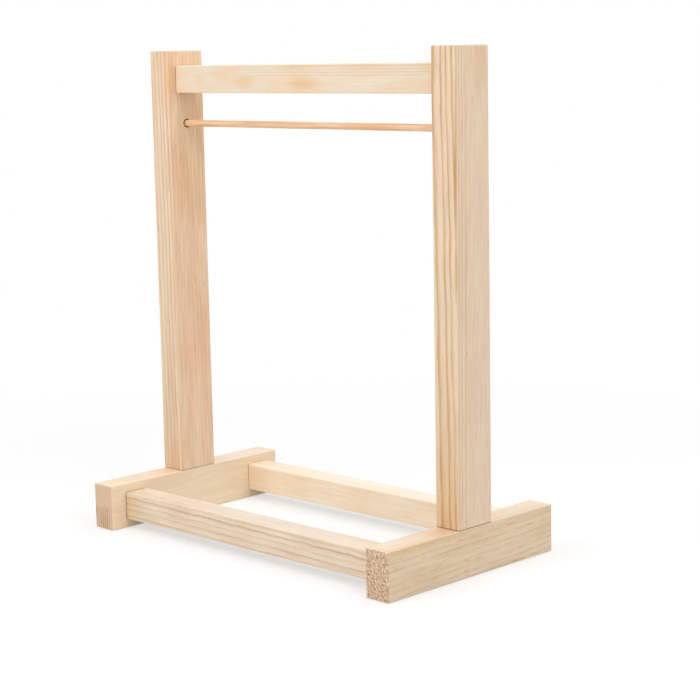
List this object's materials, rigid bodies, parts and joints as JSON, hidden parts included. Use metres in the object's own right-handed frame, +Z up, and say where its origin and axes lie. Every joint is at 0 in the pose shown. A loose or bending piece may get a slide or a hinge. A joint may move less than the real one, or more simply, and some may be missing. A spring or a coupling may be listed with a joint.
{
  "type": "childrens clothes rack",
  "caption": "Small pine clothes rack: feet tied by stretchers carry posts, a top rail and a thin round hanging rod that turns loosely in blind holes.",
  "frame": {"origin": "on the ground, in the middle of the rectangle that the feet cover", "axes": "+Z up, +X to the right across the rack along the hanging rod, +Y from front to back along the feet"},
  "size_m": [0.18, 0.1, 0.21],
  "materials": {
    "pine": "planed and sanded raw pine, no varnish",
    "pale_pine": "planed and sanded raw pine, paler boards, no varnish",
    "rod_wood": "raw bamboo stick, scraped round, no varnish",
    "dowel_wood": "raw turned hardwood dowel, hidden in the joints"
  },
  "bodies": {
    "frame": {"left_foot": "pine", "right_foot": "pine", "left_post": "pine", "right_post": "pine", "front_stretcher": "pale_pine", "back_stretcher": "pale_pine", "top_rail": "pale_pine", "left_post_front_dowel": "dowel_wood", "left_post_back_dowel": "dowel_wood", "right_post_front_dowel": "dowel_wood", "right_post_back_dowel": "dowel_wood", "left_rail_dowel": "dowel_wood", "right_rail_dowel": "dowel_wood", "front_stretcher_left_dowel": "dowel_wood", "front_stretcher_right_dowel": "dowel_wood", "back_stretcher_left_dowel": "dowel_wood", "back_stretcher_right_dowel": "dowel_wood"},
    "rod": {"hanging_rod": "rod_wood"}
  },
  "joints": [
    {"name": "rod_turns", "type": "hinge", "parent": "frame", "child": "rod", "pos_m": [0, 0.001, 0.178], "axis": [1, 0, 0], "continuous": true}
  ]
}
